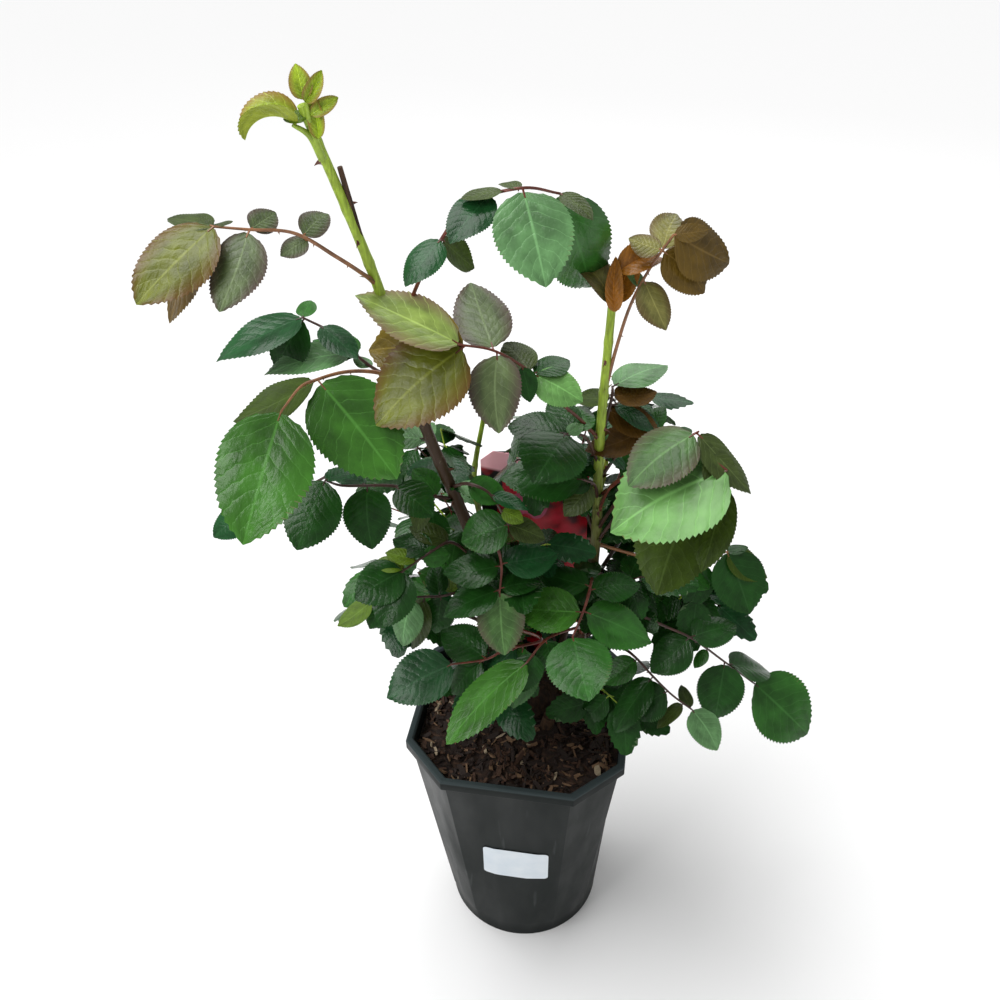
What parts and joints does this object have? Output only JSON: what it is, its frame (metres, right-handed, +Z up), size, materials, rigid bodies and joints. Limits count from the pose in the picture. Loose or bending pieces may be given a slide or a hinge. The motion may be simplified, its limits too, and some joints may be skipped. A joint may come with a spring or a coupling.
{
  "type": "potted rose bush",
  "caption": "Leafy young rose bush without flowers, its thorny canes growing from a graft in an octagonal dark grey nursery pot with a bare label and a picture tag.",
  "frame": {"origin": "centre of the pot's flat underside", "axes": "+Z up along the pot's axis; -Y is the side with the label and most of the low front leaves; +X to the right seen from that side"},
  "size_m": [0.5048, 0.32, 0.8829],
  "materials": {
    "pot": "fine matt grain, scuffed",
    "compost": "rough bark compost",
    "label": "smooth film, bare",
    "tag": null,
    "old_wood": "rough dry bark",
    "green_wood": "smooth green bark with thorns",
    "leaf_stalk": "smooth",
    "leaf_deep": "glossy leaf",
    "leaf_mid": "glossy leaf",
    "leaf_lime": "young leaf",
    "leaf_bronze": "young leaf",
    "leaf_red": "young leaf"
  },
  "bodies": {
    "root": {"cane_back": "green_wood", "cane_far": "green_wood", "cane_left": "green_wood", "cane_right": "green_wood", "compost": "compost", "graft": "old_wood", "label": "label", "leaf_centre": "leaf_bronze", "leaf_front": "leaf_mid", "leaf_front_low": "leaf_mid", "leaf_left_front": "leaf_deep", "leaf_left_large": "leaf_mid", "leaf_left_lower": "leaf_deep", "leaf_left_upper": "leaf_deep", "leaf_low_inner": "leaf_deep", "leaf_low_outer": "leaf_deep", "leaf_right_back": "leaf_deep", "leaf_shoulder_lower": "leaf_mid", "leaf_shoulder_side": "leaf_mid", "leaf_shoulder_under": "leaf_mid", "leaf_shoulder_upper": "leaf_mid", "leaf_top_centre": "leaf_mid", "leaf_top_left": "leaf_bronze", "leaf_young_right": "leaf_red", "mass_back_foot": "leaf_deep", "mass_back_left": "leaf_deep", "mass_back_middle": "leaf_deep", "mass_back_right": "leaf_deep", "mass_behind_right": "leaf_deep", "mass_centre_high": "leaf_deep", "mass_front_left_foot": "leaf_deep", "mass_front_middle": "leaf_deep", "mass_front_right": "leaf_deep", "mass_front_right_foot": "leaf_deep", "mass_left_low": "leaf_deep", "mass_left_middle": "leaf_deep", "mass_right_low": "leaf_deep", "mass_right_middle": "leaf_deep", "pot": "pot", "shoot_tip_left": "leaf_lime", "shoot_tip_right": "leaf_red", "stalk_centre": "leaf_stalk", "stalk_left_large": "leaf_stalk", "stalk_left_lower": "leaf_stalk", "stalk_low_inner": "leaf_stalk", "stalk_low_outer": "leaf_stalk", "stalk_shoulder_upper": "leaf_stalk", "stalk_top_centre": "leaf_stalk", "stalk_top_left": "leaf_stalk", "stalk_young_right": "leaf_stalk", "stub_brown": "old_wood", "stub_dead": "old_wood", "stub_grey": "old_wood", "tag": "tag"}
  },
  "joints": []
}
